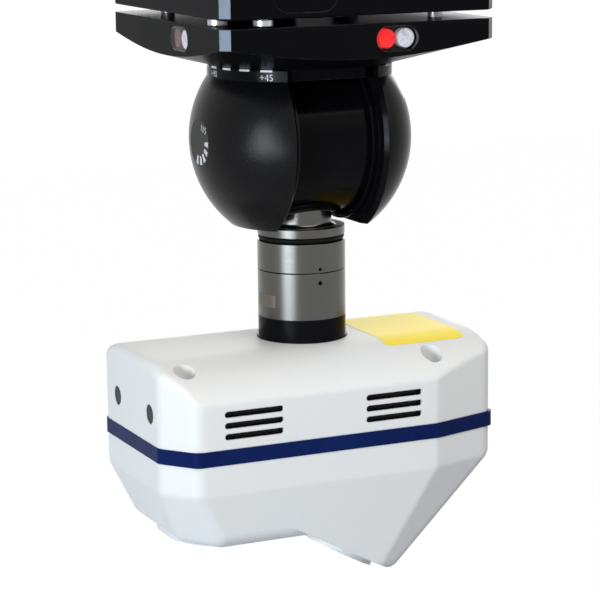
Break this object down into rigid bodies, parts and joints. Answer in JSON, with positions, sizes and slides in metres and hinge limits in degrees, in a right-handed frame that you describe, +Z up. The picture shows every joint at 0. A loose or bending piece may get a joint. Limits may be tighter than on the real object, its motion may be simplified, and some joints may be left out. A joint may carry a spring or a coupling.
{
  "type": "laser scanner on an indexing head",
  "caption": "Compact laser line scanner hanging by a quick-change joint from a motorised two-axis ball head under a square plate and adjuster block.",
  "frame": {"origin": "middle of the adjuster block's top face, where it is bolted to the machine", "axes": "+Z up out of the top face, X along the scanner's long side with its nose end towards +X, the scanner's vents and the drum's slot facing -Y"},
  "size_m": [0.1022, 0.0806, 0.182],
  "materials": {
    "band_blue": "deep blue moulding",
    "black_gloss": "gloss black moulding",
    "black_paint": "smooth semi-gloss black coat",
    "black_texture": "fine moulded texture, matte black",
    "board_green": "solder-masked board",
    "brass_gear": "cut teeth, bare",
    "bright_steel": "ground and polished",
    "cap_white": "moulded white",
    "chassis_aluminium": "milled, bare",
    "cover_white": "moulded white, semi-gloss",
    "lamp_clear": "clear lens over a lamp",
    "lamp_red": "red lens over a lamp",
    "lens_clear": "clear moulded lens",
    "module_black": "black anodised look",
    "motor_can": "satin can",
    "screw_steel": "plated",
    "seal_black": "soft satin ring",
    "silver": "fine turned finish",
    "window_glass": "flat filter glass"
  },
  "bodies": {
    "mounting_head": {"adjuster_block": "black_paint", "pivot_ball": "bright_steel", "clamp_screws": "screw_steel", "link_connector": "black_texture", "head_plate": "black_paint", "status_window_front": "lens_clear", "status_window_right": "lens_clear", "status_window_back": "lens_clear", "status_window_left": "lens_clear", "status_lamps_red": "lamp_red", "status_lamps_clear": "lamp_clear", "lamp_boards": "module_black", "pan_bearing_outer": "bright_steel", "pan_bearing_balls": "bright_steel", "pan_motor": "motor_can"},
    "pitch_adjuster": {"pitch_screw": "screw_steel"},
    "roll_adjuster": {"roll_screw": "screw_steel"},
    "pan_drive_pinion": {"pan_pinion": "brass_gear"},
    "ball_fork": {"yoke": "black_paint", "pan_gear": "brass_gear", "pan_bearing_inner": "bright_steel", "spindle_nut": "screw_steel", "scale_ring": "black_gloss", "left_cheek": "black_texture", "right_cheek": "black_gloss", "rear_cover": "black_gloss", "tilt_scale_disc": "black_texture", "tilt_bearings": "bright_steel", "tilt_motor": "motor_can"},
    "tilt_drive_pinion": {"tilt_pinion": "brass_gear"},
    "tilt_arm": {"tilt_drum": "black_gloss", "tilt_shaft": "bright_steel", "tilt_gear": "brass_gear", "stem": "silver", "joint_flange": "silver", "joint_seal": "seal_black", "joint_upper": "silver", "contact_socket": "black_texture", "seat_balls": "bright_steel"},
    "scanner": {"joint_lower": "silver", "seat_pads": "bright_steel", "contact_plug": "black_texture", "joint_collar": "black_gloss", "top_cover": "cover_white", "bottom_cover": "cover_white", "blue_band": "band_blue", "vent_screens": "black_texture", "end_plugs": "black_texture", "cover_screws": "screw_steel", "screw_caps": "cap_white", "chassis": "chassis_aluminium", "main_board": "board_green", "heat_sink": "chassis_aluminium", "laser_module": "module_black", "laser_bezel": "cover_white", "laser_window": "window_glass", "camera_module": "module_black", "camera_bezel": "cover_white", "camera_window": "window_glass"},
    "lock_screw": {"lock_cam": "screw_steel"}
  },
  "joints": [
    {"name": "pan", "type": "hinge", "parent": "mounting_head", "child": "ball_fork", "pos_m": [0, 0, -0.0583], "axis": [0, 0, 1], "range_deg": [-180, 180]},
    {"name": "pan_pinion_turn", "type": "hinge", "parent": "mounting_head", "child": "pan_drive_pinion", "pos_m": [-0.01573, 0.01573, -0.0344], "axis": [0, 0, 1], "range_deg": [-1140, 1140]},
    {"name": "tilt", "type": "hinge", "parent": "ball_fork", "child": "tilt_arm", "pos_m": [0, 0, -0.0583], "axis": [-1, 0, 0], "range_deg": [0, 105]},
    {"name": "tilt_pinion_turn", "type": "hinge", "parent": "ball_fork", "child": "tilt_drive_pinion", "pos_m": [-0.022, 0.01325, -0.0583], "axis": [-1, 0, 0], "range_deg": [-350, 0]},
    {"name": "scanner_release", "type": "slide", "parent": "tilt_arm", "child": "scanner", "axis": [0, 0, -1], "range_m": [0, 0.012]},
    {"name": "lock_turn", "type": "hinge", "parent": "scanner", "child": "lock_screw", "pos_m": [0, 0.008, -0.1025], "axis": [0, 1, 0], "range_deg": [0, 90]},
    {"name": "pitch_adjust", "type": "hinge", "parent": "mounting_head", "child": "pitch_adjuster", "pos_m": [-0.036, -0.027, -0.022], "axis": [0, 0, 1], "range_deg": [-180, 180]},
    {"name": "roll_adjust", "type": "hinge", "parent": "mounting_head", "child": "roll_adjuster", "pos_m": [-0.027, -0.036, -0.022], "axis": [0, 0, 1], "range_deg": [-180, 180]}
  ],
  "couplings": [
    {"joint": "pan_pinion_turn", "follows": "pan", "ratio": -6.3333},
    {"joint": "tilt_pinion_turn", "follows": "tilt", "ratio": -3.3333}
  ]
}
